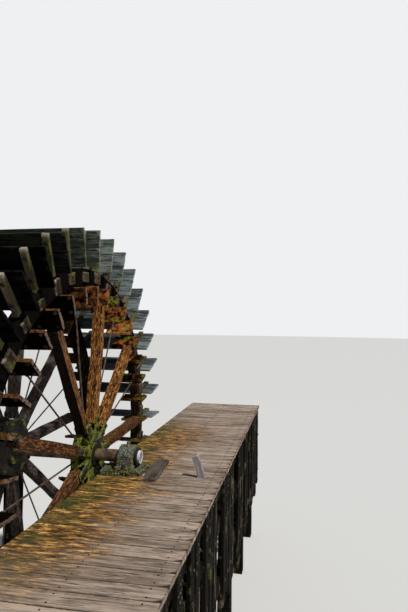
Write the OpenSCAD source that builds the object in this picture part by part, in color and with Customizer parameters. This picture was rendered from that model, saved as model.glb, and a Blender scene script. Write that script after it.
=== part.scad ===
/* [Wheel] */
// Radius of the wheel at the paddle tips
wheel_r = 3600; // [3500:10:3700]
// Length of the paddles along the shaft
wheel_w = 1720; // [1600:10:1900]
// Angle of the first paddle from the top, positive away from the viewer
paddle_phase = -0.8; // [-5:0.1:5]
// Thickness of a paddle board
board_t = 40; // [30:1:50]
// Depth of a paddle along the radius
paddle_d = 590; // [500:5:620]
// Depth of the outer one of a paddle's two planks
outer_plank_d = 280; // [200:5:350]

/* [Rim] */
// Gap between the rim and the inner edges of the paddles
rim_gap = 30; // [10:1:60]
// Depth of the rim along the radius
rim_d = 278; // [260:1:300]
// Width of the rim along the shaft
rim_w = 173; // [160:1:185]
// Distance of the rim from the paddle ends
rim_inset = 205; // [190:1:220]
// Thickness of a plate that stands inside the rim
block_t = 50; // [40:1:55]
// Length of a plate along the shaft
block_w = 480; // [450:5:520]
// Depth of a plate along the radius, inward from the rim
plate_d = 312; // [270:2:354]

/* [Arms] */
// Width of a paddle arm along the shaft
arm_w = 90; // [70:1:110]
// Depth of a paddle arm along the rim
arm_d = 65; // [50:1:75]
// Length of an arm's foot on the rim
foot_d = 100; // [85:5:140]

/* [Spokes and hubs] */
// Width of a spoke along the shaft
spoke_w = 160; // [130:5:170]
// Depth of a spoke along the rim
spoke_d = 145; // [120:5:145]
// Radius of the hub at its rim
hub_r = 480; // [450:5:510]
// Radius of the hub's boss
boss_r = 272; // [268:1:280]
// Diameter of a tie rod
rod_d = 26; // [16:1:32]

/* [Shaft and bearings] */
// Radius of the shaft
shaft_r = 97; // [92:1:110]
// Radius of the drive end, turned down for a coupling
drive_r = 90; // [70:1:91]
// Length of the drive end
drive_l = 250; // [200:10:300]
// Height of the shaft above the bed that the piles stand on
axle_z = 3700; // [3700:10:3900]
// Place of the shaft along the channel, from the middle of the canal side platform
axle_y = -1200; // [-1300:10:-1100]
// Distance from the paddle ends to a bearing's middle
bearing_reach = 513; // [480:1:560]
// Length of a bearing along the shaft
bearing_w = 270; // [240:5:290]

/* [Deck] */
// Gap between the paddle ends and a platform
deck_gap = 125; // [80:5:160]
// Width of a platform along the shaft
deck_w = 1920; // [1800:10:2100]
// Length of the canal side platform
deck_l = 11000; // [10800:100:12000]
// Height of the shaft above a platform's planks
deck_drop = 224; // [215:1:240]
// Width of a plank with its joint
plank_pitch = 250; // [240:1:260]
// Height of the boards along the canal side platform's outer edge
edge_board_h = 2100; // [1500:10:2400]
// Length of the mill side platform
mill_deck_l = 2500; // [2500:50:3500]

/* [Hidden] */
// Clearance between pieces that are bolted or wedged together
seat = 0.3;
// Radial running clearance of the shaft in its bearings
run_gap = 0.08;
// Paddles to each spoke, and spokes on each side
paddles_per_spoke = 4;
spoke_n = 9;
paddle_n = spoke_n * paddles_per_spoke;
paddle_pitch = 360 / paddle_n;
spoke_pitch = 360 / spoke_n;
// Spokes stand in line with every fourth plate, just before its paddle
plate_lead = 1.5;
spoke_phase = paddle_phase + paddle_pitch - plate_lead;
// Rim pieces meet between two plates, and tie rods end under the plates between the spokes
felloe_lead = 25;
rod_lead = 20.3;
felloe_gap = 3;

// From the paddle tips inward: paddles, rim, plates
paddle_inner_r = wheel_r - paddle_d;
plank_joint_r = wheel_r - outer_plank_d;
rim_outer_r = paddle_inner_r - rim_gap;
rim_inner_r = rim_outer_r - rim_d;
block_inner_r = rim_inner_r - plate_d;

half_w = wheel_w / 2;
rim_x1 = half_w - rim_inset;
arm_x1 = rim_x1 - 29;
arm_back_y = -board_t / 2 - seat;
arm_front_y = arm_back_y - arm_d;
foot_front_y = arm_back_y - foot_d;
arm_inner_r = rim_outer_r + seat;
plank_gap = 4;

block_back_y = -26;
block_outer_r = sqrt(pow(rim_inner_r - seat, 2) - pow(block_back_y - block_t, 2));

// A spoke starts outside the hub's rim, between two ears of the hub, and ends under its plate,
// where a tongue goes up behind the plate
spoke_x = half_w - 144;
spoke_inner_r = hub_r + 8;
ear_top_r = hub_r + 130;
ear_w = 124;
spoke_top_r = block_inner_r - 0.5;
tongue_t = 30;
tongue_top_r = block_outer_r - 60;

flange_t = 30;
socket_depth = 3;
flange_x1 = spoke_x - spoke_w / 2 + socket_depth;
flange_x0 = flange_x1 - flange_t;
boss_x0 = flange_x0 - 45;
boss_front_x = spoke_x + spoke_w / 2 + 12;
hub_front_x = spoke_x + 130;
nose_r = 170;
rib_t = 18;
rib_knee_r = 350;
hub_rim_t = 25;
hub_rim_x1 = spoke_x + 20;
lug_r = 38;
rod_x = flange_x1 + 20;

bearing_x = half_w + bearing_reach;
bearing_l = 520;
bearing_rim = 128;
sole_h = 60;
sole_l = 540;
sole_x0 = half_w + deck_gap + 15;
sole_x1 = bearing_x + 285;
flange_gap = 12;
end_x = bearing_x + bearing_w / 2 + flange_gap;
free_end_x = -(bearing_x + 560);

deck_x0 = half_w + deck_gap;
deck_z = axle_z - deck_drop;
plank_t = 60;
plank_joint = 6;
stringer_w = 200;
stringer_h = 220;
cap_h = 250;
cap_w = 220;
pile_w = 250;
bent_inset = 400;
bent_n = 6;
pile_top_z = deck_z - plank_t - stringer_h - cap_h;
// The outer edge, from outside in: boards, wales, piles
edge_board_t = 50;
edge_x = deck_x0 + deck_w - 5;
edge_back_x = edge_x - edge_board_t - seat;
wale_t = 110;
wale_h = 200;
wale_drops = [820, 1750];
outer_pile_x = edge_back_x - wale_t - seat - pile_w / 2;
inner_pile_x = deck_x0 + 130;

// Everything that turns is drawn about the X axis and lifted to the shaft's height
module on_axle() {
    translate([0, axle_y, axle_z])
        children();
}

// What stands beside the shaft is drawn with the shaft at y = 0
module beside_axle() {
    translate([0, axle_y, 0])
        children();
}

// Local Z points out along the radius at this angle from the top, local Y along the turn
module at_angle(angle) {
    rotate([-angle, 0, 0])
        children();
}

// A box given by its lowest and highest corners
module span(low, high) {
    translate(low)
        cube(high - low);
}

// One row of like pieces round the wheel
module round_row(count, first, pitch) {
    for (i = [0:count - 1])
        at_angle(first + i * pitch)
            children();
}

// The mill side is the mirror image of the canal side along the shaft
module mill_side() {
    mirror([1, 0, 0])
        children();
}

// A round bar along X between two places
module bar_x(radius, x0, x1) {
    translate([x0, 0, 0])
        rotate([0, 90, 0])
            cylinder(r = radius, h = x1 - x0, $fn = 96);
}

module one_paddle() {
    span([-half_w, -board_t / 2, paddle_inner_r],
        [half_w, board_t / 2, plank_joint_r - plank_gap / 2]);
    span([-half_w, -board_t / 2, plank_joint_r + plank_gap / 2],
        [half_w, board_t / 2, wheel_r]);
}

// Six paddles in a row, the groups numbered from the top
module paddle_group(number) {
    color("darkslategray")
        on_axle()
            round_row(paddle_n / 6, paddle_phase + (number - 1) * 60, paddle_pitch)
                one_paddle();
}

// An arm's outline across the shaft: a foot on the rim and a worn outer corner
module arm_outline() {
    polygon([
        [arm_back_y, arm_inner_r],
        [arm_back_y, wheel_r],
        [arm_front_y + 14, wheel_r],
        [arm_front_y, wheel_r - 26],
        [arm_front_y, arm_inner_r + 60],
        [foot_front_y, arm_inner_r + 20],
        [foot_front_y, arm_inner_r]]);
}

module arms() {
    color("olivedrab")
        on_axle()
            round_row(paddle_n, paddle_phase, paddle_pitch)
                translate([arm_x1 - arm_w, 0, 0])
                    rotate([90, 0, 90])
                        linear_extrude(arm_w)
                            arm_outline();
}

// Upright plates inside the rim, one for each paddle, that carry the rim on their outer edges
module rim_blocks() {
    color("sienna")
        on_axle()
            round_row(paddle_n, paddle_phase, paddle_pitch)
                span([half_w - block_w, block_back_y - block_t, block_inner_r],
                    [half_w, block_back_y, block_outer_r]);
}

// One rim piece, from joint to joint
module felloe() {
    joint_angle = felloe_gap / rim_inner_r * 180 / PI;
    rotate([0, -90, 0])
        rotate([0, 0, felloe_lead - spoke_pitch + joint_angle / 2])
            rotate_extrude(angle = spoke_pitch - joint_angle, $fn = 360)
                translate([rim_inner_r, -rim_x1])
                    square([rim_outer_r - rim_inner_r, rim_w]);
}

module felloes() {
    color("saddlebrown")
        on_axle()
            round_row(spoke_n, spoke_phase, spoke_pitch)
                felloe();
}

// A spoke with its tongue, grown by the clearance where it cuts the hub
module spoke_shape(grow) {
    span([spoke_x - spoke_w / 2 - grow, -spoke_d / 2 - grow, spoke_inner_r - grow],
        [spoke_x + spoke_w / 2 + grow, spoke_d / 2 + grow, spoke_top_r]);
    at_angle(plate_lead)
        span([spoke_x - spoke_w / 2, block_back_y + seat, spoke_top_r - 20],
            [spoke_x + spoke_w / 2, block_back_y + seat + tongue_t, tongue_top_r]);
}

module spokes() {
    color("peru")
        on_axle()
            round_row(spoke_n, spoke_phase, spoke_pitch)
                spoke_shape(0);
}

// A rib in line with a side of a spoke, low at the hub's rim and as deep as the boss at its root
module hub_rib() {
    rotate([0, 90, 0])
        rotate([90, 0, 0])
            linear_extrude(rib_t, center = true)
                polygon([
                    [-boss_r + 20, flange_x0 + 5],
                    [-hub_r + hub_rim_t / 2, flange_x0 + 5],
                    [-hub_r + hub_rim_t / 2, hub_rim_x1 - 5],
                    [-rib_knee_r, boss_front_x - 12],
                    [-boss_r + 20, boss_front_x - 12]]);
}

// The two ears that hold a spoke: one grows out of the flange, the other out of the boss
module hub_ears() {
    span([flange_x0 + 4, -ear_w / 2, boss_r + 40], [flange_x1 + 6, ear_w / 2, ear_top_r]);
    span([boss_front_x - 20, -ear_w / 2, nose_r + 30], [boss_front_x + 14, ear_w / 2, ear_top_r]);
}

// The hub's round body in one turn: boss, back flange and the rim of the flange
module hub_body() {
    bore = shaft_r + seat;
    rotate([0, -90, 0])
        rotate_extrude($fn = 96)
            polygon([
                [bore, -hub_front_x],
                [nose_r, -hub_front_x],
                [nose_r, -boss_front_x],
                [boss_r, -boss_front_x],
                [boss_r, -flange_x1],
                [hub_r - hub_rim_t, -flange_x1],
                [hub_r - hub_rim_t, -hub_rim_x1],
                [hub_r, -hub_rim_x1],
                [hub_r, -flange_x0],
                [boss_r, -flange_x0],
                [boss_r - 30, -boss_x0],
                [bore, -boss_x0]]);
}

module hub() {
    rib_y = (spoke_d + rib_t) / 2;
    color("yellowgreen")
        on_axle()
            difference() {
                union() {
                    hub_body();
                    round_row(spoke_n, spoke_phase, spoke_pitch) {
                        hub_ears();
                        translate([0, rib_y, 0])
                            hub_rib();
                        translate([0, -rib_y, 0])
                            hub_rib();
                    }
                    round_row(spoke_n, spoke_phase + rod_lead, spoke_pitch)
                        translate([rod_x, 0, hub_r - 90])
                            cylinder(r = lug_r, h = 95, $fn = 48);
                }
                round_row(spoke_n, spoke_phase, spoke_pitch)
                    spoke_shape(seat);
            }
}

module tie_rods() {
    color("dimgray")
        on_axle()
            round_row(spoke_n, spoke_phase + rod_lead, spoke_pitch)
                translate([rod_x, 0, hub_r + 5 + seat])
                    cylinder(d = rod_d, h = block_inner_r - hub_r - 5 - 2 * seat, $fn = 32);
}

module shaft() {
    color("silver")
        on_axle() {
            bar_x(shaft_r, free_end_x + drive_l, end_x);
            bar_x(drive_r, free_end_x, free_end_x + drive_l + 50);
        }
}

module shaft_flange() {
    color("black")
        on_axle()
            bar_x(shaft_r + 50, end_x + seat, end_x + 26);
}

module shaft_end_cap() {
    color("lightsteelblue")
        on_axle()
            difference() {
                bar_x(shaft_r + 4, end_x + 26 + seat, end_x + 60);
                bar_x(shaft_r - 22, end_x + 52, end_x + 61);
            }
}

module bearing_sole() {
    color("olive")
        beside_axle()
            span([sole_x0, -sole_l / 2, deck_z], [sole_x1, sole_l / 2, deck_z + sole_h]);
}

// The lower half of a bearing, with a foot at each end
module bearing_base() {
    foot_h = 55;
    base_z = deck_z + sole_h + seat;
    color("darkkhaki")
        difference() {
            union() {
                beside_axle()
                    span([bearing_x - bearing_w / 2, -bearing_l / 2, base_z],
                        [bearing_x + bearing_w / 2, bearing_l / 2, base_z + foot_h]);
                beside_axle()
                    span([bearing_x - bearing_w / 2 + 15, -shaft_r - bearing_rim, base_z],
                        [bearing_x + bearing_w / 2 - 15, shaft_r + bearing_rim, axle_z - seat]);
            }
            on_axle()
                bar_x(shaft_r + run_gap, sole_x0, sole_x1);
        }
}

// The upper half of a bearing, round over the shaft with two bolted ears and an oil cup
module bearing_cap() {
    color("darkseagreen")
        on_axle()
            difference() {
                union() {
                    bar_x(shaft_r + 85, bearing_x - bearing_w / 2 + 15, bearing_x + bearing_w / 2 - 15);
                    span([bearing_x - bearing_w / 2 + 25, -shaft_r - bearing_rim, 0],
                        [bearing_x + bearing_w / 2 - 25, shaft_r + bearing_rim, 60]);
                    translate([bearing_x, 0, shaft_r + 75])
                        cylinder(r = 32, h = 60, $fn = 48);
                    for (side = [-1, 1])
                        translate([bearing_x, side * (shaft_r + bearing_rim - 32), 50])
                            cylinder(r = 22, h = 42, $fn = 6);
                }
                span([bearing_x - bearing_w, -shaft_r - 200, -shaft_r - 200],
                    [bearing_x + bearing_w, shaft_r + 200, 0]);
                bar_x(shaft_r + run_gap, sole_x0, sole_x1);
            }
}

// Planks laid along the shaft's direction over a length
module planks(length) {
    count = floor(length / plank_pitch);
    color("tan")
        for (i = [0:count - 1])
            span([deck_x0, -length / 2 + i * length / count + plank_joint / 2, deck_z - plank_t],
                [deck_x0 + deck_w, -length / 2 + (i + 1) * length / count - plank_joint / 2, deck_z]);
}

// Long beams under the planks
module stringers(length) {
    top_z = deck_z - plank_t;
    color("rosybrown")
        for (x = [inner_pile_x, deck_x0 + deck_w / 2, edge_back_x - stringer_w / 2])
            span([x - stringer_w / 2, -length / 2, top_z - stringer_h],
                [x + stringer_w / 2, length / 2, top_z]);
}

// Places of the pile rows along a platform
function bents(length, count) =
    [for (i = [0:count - 1]) -length / 2 + bent_inset + i * (length - 2 * bent_inset) / (count - 1)];

module cap_beams(length, count) {
    color("dimgray")
        for (y = bents(length, count))
            span([deck_x0 + 5, y - cap_w / 2, pile_top_z],
                [edge_back_x, y + cap_w / 2, pile_top_z + cap_h]);
}

module piles(length, count) {
    color("darkolivegreen")
        for (y = bents(length, count))
            for (x = [inner_pile_x, outer_pile_x])
                span([x - pile_w / 2, y - pile_w / 2, 0],
                    [x + pile_w / 2, y + pile_w / 2, pile_top_z]);
}

// A slanting brace across each pile row, bolted to the piles' faces
module braces(length, count) {
    brace_run = outer_pile_x - inner_pile_x;
    brace_rise = 0.475 * pile_top_z;
    brace_l = sqrt(pow(brace_run, 2) + pow(brace_rise, 2)) + 160;
    color("dimgray")
        for (y = bents(length, count))
            translate([(inner_pile_x + outer_pile_x) / 2, y + pile_w / 2 + 30 + seat, 0.61 * pile_top_z])
                rotate([0, -atan(brace_rise / brace_run), 0])
                    cube([brace_l, 60, 150], center = true);
}

// Long timbers along the outer faces of the outer piles, below the platform's edge
module edge_wales() {
    color("dimgray")
        for (drop = wale_drops)
            span([edge_back_x - wale_t, -deck_l / 2 + 60, deck_z - drop],
                [edge_back_x, deck_l / 2 - 60, deck_z - drop + wale_h]);
}

// Upright boards of uneven width and length along the edge, some of them gone
module edge_boards() {
    pitch = 305;
    count = floor((deck_l - 200) / pitch);
    color("darkolivegreen")
        for (i = [0:count - 1])
            if (i % 5 != 3 && i % 7 != 5)
                translate([edge_back_x + seat, -deck_l / 2 + 120 + i * pitch, deck_z - plank_t - 4])
                    span([0, 0, -edge_board_h + 70 * (i % 4)], [edge_board_t, 205 + 22 * (i % 3), 0]);
}

module loose_board() {
    color("lightgray")
        translate([sole_x1 + 157, axle_y + 60, deck_z + seat])
            rotate([0, 0, 4])
                span([-108, -540, 0], [108, 540, 45]);
}

// A short stake standing on the planks and leaning toward the wheel
module deck_stake() {
    stake_l = 410;
    color("lightgray")
        translate([edge_x - 320, axle_y - 90, deck_z + seat])
            difference() {
                rotate([0, -19, 0])
                    translate([0, 0, -60])
                        difference() {
                            span([-52, -35, 0], [52, 35, stake_l]);
                            translate([-60, 0, stake_l - 30])
                                rotate([0, -35, 0])
                                    span([-80, -60, 0], [200, 60, 100]);
                        }
                span([-200, -200, -200], [200, 200, 0]);
            }
}

shaft();
shaft_flange();
shaft_end_cap();
hub();  // hub_canal
mill_side() hub();  // hub_mill
spokes();  // spokes_canal
mill_side() spokes();  // spokes_mill
felloes();  // felloes_canal
mill_side() felloes();  // felloes_mill
rim_blocks();  // rim_blocks_canal
mill_side() rim_blocks();  // rim_blocks_mill
arms();  // arms_canal
mill_side() arms();  // arms_mill
tie_rods();  // tie_rods_canal
mill_side() tie_rods();  // tie_rods_mill
paddle_group(1);  // paddle_boards_1
paddle_group(2);  // paddle_boards_2
paddle_group(3);  // paddle_boards_3
paddle_group(4);  // paddle_boards_4
paddle_group(5);  // paddle_boards_5
paddle_group(6);  // paddle_boards_6
planks(deck_l);  // deck_planks
stringers(deck_l);  // deck_stringers
cap_beams(deck_l, bent_n);  // deck_cap_beams
piles(deck_l, bent_n);  // deck_piles
braces(deck_l, bent_n);  // deck_braces
edge_wales();
edge_boards();
bearing_sole();  // bearing_sole_canal
bearing_base();  // bearing_base_canal
bearing_cap();  // bearing_cap_canal
loose_board();
deck_stake();
mill_side() beside_axle() planks(mill_deck_l);  // mill_planks
mill_side() beside_axle() stringers(mill_deck_l);  // mill_stringers
mill_side() beside_axle() cap_beams(mill_deck_l, 2);  // mill_cap_beams
mill_side() beside_axle() piles(mill_deck_l, 2);  // mill_piles
mill_side() bearing_sole();  // bearing_sole_mill
mill_side() bearing_base();  // bearing_base_mill
mill_side() bearing_cap();  // bearing_cap_mill
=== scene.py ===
# %% [markdown]
# # A timber water wheel on its plank deck
#
# The wheel stands on edge in a mill channel: thirty-six paddles on two timber rims, nine
# spokes a side, two cast hubs and one long steel shaft. The solid model is loaded first,
# as a fixed frame in metres. Everything made below sits on it, in the same coordinates.

import math
import random

import bmesh
import bpy
from mathutils import Matrix, Vector, noise


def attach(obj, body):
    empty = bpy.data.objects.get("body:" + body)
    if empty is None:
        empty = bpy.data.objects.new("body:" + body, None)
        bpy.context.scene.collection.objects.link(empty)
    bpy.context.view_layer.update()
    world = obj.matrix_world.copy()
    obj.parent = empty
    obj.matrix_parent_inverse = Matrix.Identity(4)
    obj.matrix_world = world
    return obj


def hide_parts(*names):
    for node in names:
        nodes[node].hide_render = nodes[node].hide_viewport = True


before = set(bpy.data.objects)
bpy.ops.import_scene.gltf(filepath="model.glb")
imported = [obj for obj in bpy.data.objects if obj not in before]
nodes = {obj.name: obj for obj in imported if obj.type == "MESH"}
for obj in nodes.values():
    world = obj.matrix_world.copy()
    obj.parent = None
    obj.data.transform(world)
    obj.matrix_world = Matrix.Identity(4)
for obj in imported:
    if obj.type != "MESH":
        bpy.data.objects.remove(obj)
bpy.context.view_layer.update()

# %% [markdown]
# ## Sizes of the wheel
#
# The finishes and the small fittings need a few of the solid's own sizes, in metres. They
# are kept here, so that a bolt or a stain is placed from the same numbers as its timber.

# %% Sizes of the wheel
AXLE_Y, AXLE_Z = -1.2, 3.7
TIP_R, PLANK_JOINT_R = 3.600, 3.320
RIM_IN, RIM_OUT = 2.702, 2.980
PLATE_END_X = 0.860
print("wheel", 2 * TIP_R, "m across, rim", round(RIM_OUT - RIM_IN, 3), "m deep")

# %% [markdown]
# ## The camera
#
# The eye stands on a bridge, a little above the shaft, and looks along the deck with the
# wheel on its left. The three turns are heading, tilt and roll, applied in that order.
# The lens is worked out for an upright picture, where the sensor's 36 mm is the height.

# %% Camera
HEADING, TILT, ROLL = 0.18810, 0.02579, 0.01077
EYE = (4.0538, -9.0134, 5.8859)
camera_data = bpy.data.cameras.new("camera")
camera_data.sensor_width = 36.0
camera_data.lens = 30.108
camera_data.clip_end = 400.0
camera = bpy.data.objects.new("camera", camera_data)
bpy.context.scene.collection.objects.link(camera)
turn = (Matrix.Rotation(HEADING, 4, "Z") @ Matrix.Rotation(math.pi / 2 + TILT, 4, "X")
        @ Matrix.Rotation(ROLL, 4, "Z"))
camera.matrix_world = Matrix.Translation(EYE) @ turn
bpy.context.scene.camera = camera
bpy.context.scene.view_settings.view_transform = "Standard"
print("camera at", tuple(round(v, 2) for v in camera.location), "lens", camera_data.lens)

# %% [markdown]
# ## Studio light
#
# One broad lamp from high on the right stands for the sun, and the pale world fills the
# shade. Together they light a surface about as bright as its written colour. A light-path
# switch shows the camera a plain pale backdrop, while the wheel still gets the blue fill.

# %% Sun lamp
SUN_FROM = (0.50, -0.27, 0.82)
key_data = bpy.data.lights.new("key", "SUN")
key_data.energy = 3.0
key_data.angle = math.radians(3.0)
key_data.color = (1.0, 0.97, 0.92)
key = bpy.data.objects.new("key", key_data)
key.rotation_euler = Vector(SUN_FROM).to_track_quat("Z", "Y").to_euler()
bpy.context.scene.collection.objects.link(key)
print("key lamp", key_data.energy)

# %% Fill and backdrop
world = bpy.data.worlds.new("studio")
bpy.context.scene.world = world
world.use_nodes = True
wires = world.node_tree
sky = wires.nodes["Background"]
sky.inputs["Color"].default_value = (0.74, 0.84, 0.98, 1.0)
sky.inputs["Strength"].default_value = 0.20
plain = wires.nodes.new("ShaderNodeBackground")
plain.inputs["Color"].default_value = (0.86, 0.87, 0.88, 1.0)
path = wires.nodes.new("ShaderNodeLightPath")
choose = wires.nodes.new("ShaderNodeMixShader")
wires.links.new(path.outputs["Is Camera Ray"], choose.inputs[0])
wires.links.new(sky.outputs[0], choose.inputs[1])
wires.links.new(plain.outputs[0], choose.inputs[2])
wires.links.new(choose.outputs[0], wires.nodes["World Output"].inputs[0])
print("fill", round(sky.inputs["Strength"].default_value, 2))

# %% [markdown]
# ## Wiring shader nodes
#
# Every finish below is procedural. These few helpers add a node, set its sockets, and give
# back the output, so that a finish reads like a recipe. A value that is a socket is linked,
# and any other value is typed into the socket.

# %% Helpers that add a node
def fill_sockets(tree, made, sockets):
    for name, value in dict(sockets).items():
        if isinstance(value, bpy.types.NodeSocket):
            tree.links.new(value, made.inputs[name])
        else:
            made.inputs[name].default_value = value
    return made


def node(tree, kind, sockets=(), **settings):
    made = tree.nodes.new("ShaderNode" + kind)
    for name, value in settings.items():
        setattr(made, name, value)
    return fill_sockets(tree, made, sockets)


print("node helpers ready")

# %% Helpers for sums and masks
def calc(tree, operation, a, b=0.0, c=0.0, clamp=False):
    return node(tree, "Math", {0: a, 1: b, 2: c}, operation=operation, use_clamp=clamp).outputs[0]


def times(tree, a, b):
    return calc(tree, "MULTIPLY", a, b)


def rescale(tree, value, low, high, to_low=0.0, to_high=1.0):
    sockets = {0: value, 1: low, 2: high, 3: to_low, 4: to_high}
    return node(tree, "MapRange", sockets, interpolation_type="SMOOTHSTEP").outputs[0]


def between(tree, value, rise, fall):
    return times(tree, rescale(tree, value, *rise), rescale(tree, value, *fall))


def swayed(tree, value, by, reach):
    return calc(tree, "MULTIPLY_ADD", calc(tree, "SUBTRACT", by, 0.5), reach, value)


print("mask helpers ready")

# %% Helpers for colours and patterns
def rgb(colour):
    return (*colour, 1.0) if isinstance(colour, tuple) and len(colour) == 3 else colour


def mixed(tree, factor, a, b, blend="MIX"):
    sockets = {0: factor, 6: rgb(a), 7: rgb(b)}
    return node(tree, "Mix", sockets, data_type="RGBA", blend_type=blend).outputs[2]


def ramp(tree, value, *stops):
    made = node(tree, "ValToRGB", {0: value})
    while len(made.color_ramp.elements) < len(stops):
        made.color_ramp.elements.new(0.5)
    for element, (position, colour) in zip(made.color_ramp.elements, stops):
        element.position = position
        element.color = rgb(colour)
    return made.outputs[0]


def stretched(tree, vector, scale):
    return node(tree, "Mapping", {0: vector, 3: scale}).outputs[0]


def cloud(tree, vector, scale, detail=4.0, rough=0.55):
    sockets = {"Vector": vector, "Scale": scale, "Detail": detail, "Roughness": rough}
    return node(tree, "TexNoise", sockets).outputs["Fac"]


print("colour helpers ready")

# %% Helpers that read a place on a piece
def object_place(tree):
    return node(tree, "TexCoord").outputs["Object"]


def object_axis(tree, axis):
    return node(tree, "SeparateXYZ", {0: object_place(tree)}).outputs[axis]


def facing(tree, axis):
    normal = node(tree, "TexCoord").outputs["Normal"]
    return node(tree, "SeparateXYZ", {0: normal}).outputs[axis]


print("place helpers ready")

# %% Helpers for node groups
def new_group(name, inputs, outputs):
    tree = bpy.data.node_groups.new(name, "ShaderNodeTree")
    for label, value in inputs:
        socket = tree.interface.new_socket(label, in_out="INPUT", socket_type="NodeSocketFloat")
        socket.default_value = value
    for label, kind in outputs:
        tree.interface.new_socket(label, in_out="OUTPUT", socket_type="NodeSocket" + kind)
    return tree, tree.nodes.new("NodeGroupInput").outputs, tree.nodes.new("NodeGroupOutput").inputs


def placed(tree, group, sockets=()):
    made = tree.nodes.new("ShaderNodeGroup")
    made.node_tree = group
    return fill_sockets(tree, made, sockets).outputs


print("group helpers ready")

# %% [markdown]
# ## Effects that several finishes share
#
# Each weathered timber below carries three attributes: `grain`, its own coordinates with the
# first along the timber; `edge_far`, the distance to its nearest edge; and `tone`, one
# random number for each piece of wood. The groups here read them. `timber_grain` gives the
# fibres, the broad streaks and the drying cracks. `worn_edge` is a mask along the arrises.
# `wheel_place` gives the angle from the top of the wheel and the distance from the shaft.
# `growth` is moss, and `specks` is lichen or rust spots.

# %% Group: timber grain
grain_group, grain_in, grain_out = new_group(
    "timber_grain", [("Fineness", 1.0)],
    [("Streak", "Float"), ("Fibre", "Float"), ("Crack", "Float"), ("Tone", "Float"), ("Height", "Float")])
t = grain_group
own = node(t, "Attribute", attribute_name="grain").outputs["Vector"]
sized = node(t, "VectorMath", {0: own, 3: grain_in["Fineness"]}, operation="SCALE").outputs[0]
streak = cloud(t, stretched(t, sized, (1.3, 14.0, 14.0)), 1.0, 3.0, 0.6)
fibre = cloud(t, stretched(t, sized, (5.0, 120.0, 120.0)), 1.0, 3.0, 0.65)
check = cloud(t, stretched(t, sized, (1.7, 34.0, 34.0)), 1.0, 2.0, 0.5)
crack = rescale(t, check, 0.60, 0.67)
tone = node(t, "Attribute", attribute_name="tone").outputs["Fac"]
ridges = calc(t, "MULTIPLY_ADD", fibre, 0.5, times(t, streak, 0.5))
height = calc(t, "SUBTRACT", ridges, times(t, crack, 0.8))
for label, value in (("Streak", streak), ("Fibre", fibre), ("Crack", crack), ("Tone", tone),
                     ("Height", height)):
    t.links.new(value, grain_out[label])
print("group", grain_group.name, len(t.nodes), "nodes")

# %% Group: worn edges
edge_group, edge_in, edge_out = new_group("worn_edge", [("Width", 0.012)], [("Mask", "Float")])
t = edge_group
far = node(t, "Attribute", attribute_name="edge_far").outputs["Fac"]
uneven = rescale(t, cloud(t, object_place(t), 16.0, 4.0, 0.7), 0.34, 0.62, 0.25, 1.5)
ragged = times(t, uneven, edge_in["Width"])
t.links.new(calc(t, "SUBTRACT", 1.0, calc(t, "DIVIDE", far, ragged), clamp=True), edge_out["Mask"])
print("group", edge_group.name, len(t.nodes), "nodes")

# %% Group: place on the wheel
place_group, _, place_out = new_group("wheel_place", [], [("Angle", "Float"), ("Radius", "Float")])
t = place_group
y_far = calc(t, "SUBTRACT", object_axis(t, "Y"), AXLE_Y)
z_far = calc(t, "SUBTRACT", object_axis(t, "Z"), AXLE_Z)
t.links.new(times(t, calc(t, "ARCTAN2", y_far, z_far), 180 / math.pi), place_out["Angle"])
squares = calc(t, "MULTIPLY_ADD", y_far, y_far, times(t, z_far, z_far))
t.links.new(calc(t, "SQRT", squares), place_out["Radius"])
print("group", place_group.name, len(t.nodes), "nodes")

# %% Group: moss
moss_group, moss_in, moss_out = new_group(
    "growth", [("Amount", 0.5), ("Scale", 5.0)],
    [("Mask", "Float"), ("Colour", "Color"), ("Height", "Float")])
t = moss_group
here = object_place(t)
fine = cloud(t, here, times(t, moss_in["Scale"], 5.0), 4.0, 0.7)
broad = cloud(t, here, moss_in["Scale"], 3.0, 0.5)
patches = calc(t, "MULTIPLY_ADD", fine, 0.35, times(t, broad, 0.65))
lifted = calc(t, "MULTIPLY_ADD", facing(t, "Z"), 0.05, patches)
edge = calc(t, "SUBTRACT", 0.72, times(t, moss_in["Amount"], 0.44))
mask = rescale(t, calc(t, "SUBTRACT", lifted, edge), -0.02, 0.035)
tuft = cloud(t, here, 46.0, 3.0, 0.7)
tint = ramp(t, tuft, (0.32, (0.008, 0.011, 0.002)), (0.46, (0.075, 0.092, 0.010)),
            (0.58, (0.22, 0.24, 0.026)), (0.74, (0.44, 0.45, 0.09)))
t.links.new(mask, moss_out["Mask"])
t.links.new(tint, moss_out["Colour"])
t.links.new(times(t, mask, calc(t, "ADD", tuft, 0.4)), moss_out["Height"])
print("group", moss_group.name, len(t.nodes), "nodes")

# %% Group: small specks of lichen, rust or grit
speck_group, speck_in, speck_out = new_group(
    "specks", [("Scale", 30.0), ("Amount", 0.4)], [("Mask", "Float")])
t = speck_group
here = object_place(t)
dots = node(t, "TexVoronoi", {"Vector": here, "Scale": speck_in["Scale"], "Randomness": 1.0})
near = calc(t, "ADD", dots.outputs["Distance"], times(t, cloud(t, here, 60.0, 2.0, 0.5), 0.3))
limit = times(t, cloud(t, here, 6.0, 2.0, 0.5), speck_in["Amount"])
inside = calc(t, "SUBTRACT", calc(t, "ADD", limit, 0.28), near)
t.links.new(rescale(t, inside, -0.06, 0.06), speck_out["Mask"])
print("group", speck_group.name, len(t.nodes), "nodes")
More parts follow.
